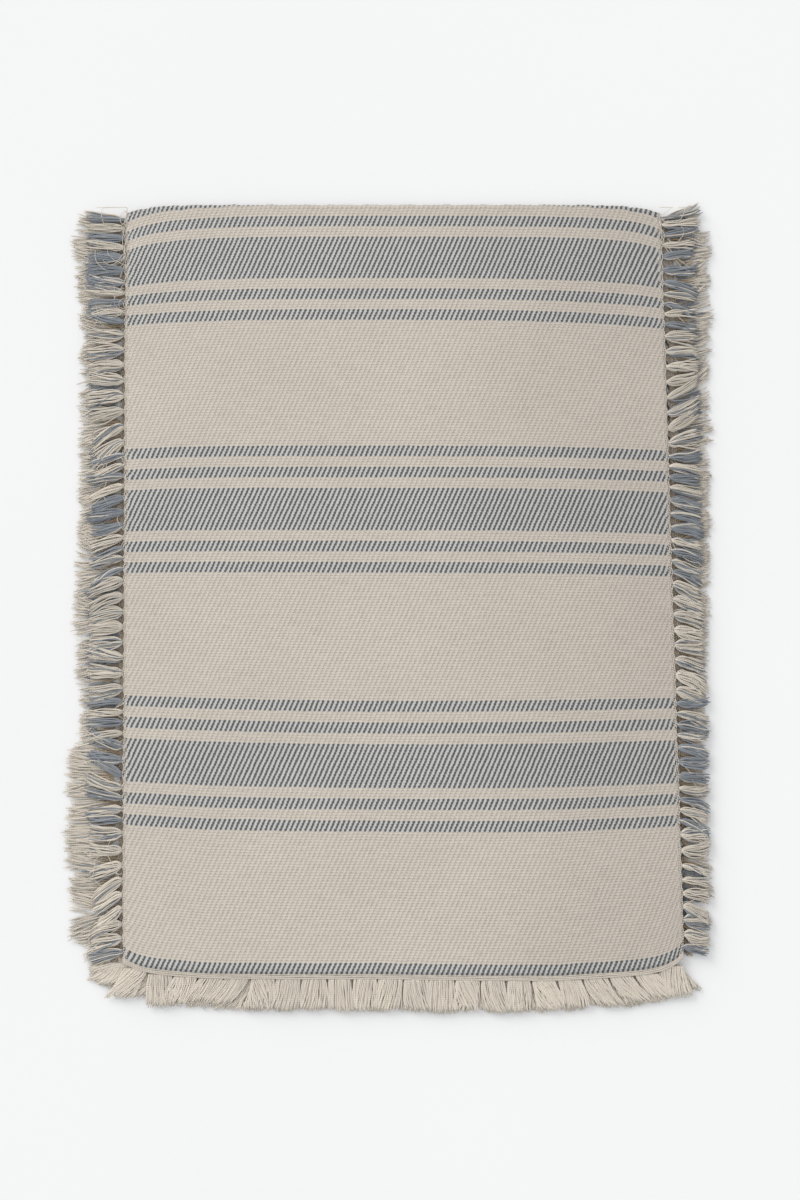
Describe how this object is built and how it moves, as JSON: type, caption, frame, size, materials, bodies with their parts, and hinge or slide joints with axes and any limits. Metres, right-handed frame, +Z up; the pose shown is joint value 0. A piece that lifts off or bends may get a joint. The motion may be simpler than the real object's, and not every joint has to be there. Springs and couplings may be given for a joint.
{
  "type": "fringed bath mat",
  "caption": "Striped twill-woven cotton bath mat, folded once across its middle into two leaves, with a cut yarn fringe on every side; it unfolds flat.",
  "frame": {"origin": "on the floor, under the middle of the folded mat's bounding box", "axes": "+Y from the fringed front end to the fold, +Z up from the floor, +X to the right as seen from the front end and above"},
  "size_m": [0.614, 0.775, 0.007],
  "materials": {
    "cream_cloth": "matt undyed cotton twill",
    "blue_stripe": "matt slate blue cotton weft under cream warp",
    "cream_fringe": "loose plied cotton yarn, cut ends",
    "blue_fringe": "loose plied slate blue cotton yarn, cut ends"
  },
  "bodies": {
    "lower_leaf": {"lower_ground": "cream_cloth", "lower_wide_stripes": "blue_stripe", "lower_narrow_stripes": "blue_stripe", "lower_left_selvedge": "cream_cloth", "lower_right_selvedge": "cream_cloth", "lower_end_hem": "cream_cloth", "lower_left_cream_fringe": "cream_fringe", "lower_left_blue_fringe": "blue_fringe", "lower_right_cream_fringe": "cream_fringe", "lower_right_blue_fringe": "blue_fringe", "lower_end_fringe": "cream_fringe"},
    "upper_leaf": {"upper_ground": "cream_cloth", "upper_wide_stripes": "blue_stripe", "upper_narrow_stripes": "blue_stripe", "upper_left_selvedge": "cream_cloth", "upper_right_selvedge": "cream_cloth", "upper_end_hem": "cream_cloth", "upper_left_cream_fringe": "cream_fringe", "upper_left_blue_fringe": "blue_fringe", "upper_right_cream_fringe": "cream_fringe", "upper_right_blue_fringe": "blue_fringe", "upper_end_fringe": "cream_fringe", "fold_roll": "blue_stripe"}
  },
  "joints": [
    {"name": "unfold", "type": "hinge", "parent": "lower_leaf", "child": "upper_leaf", "pos_m": [0.002, 0.38699, 0.0035], "axis": [-1, 0, 0], "range_deg": [0, 180], "deforming": ["fold_roll"]}
  ]
}
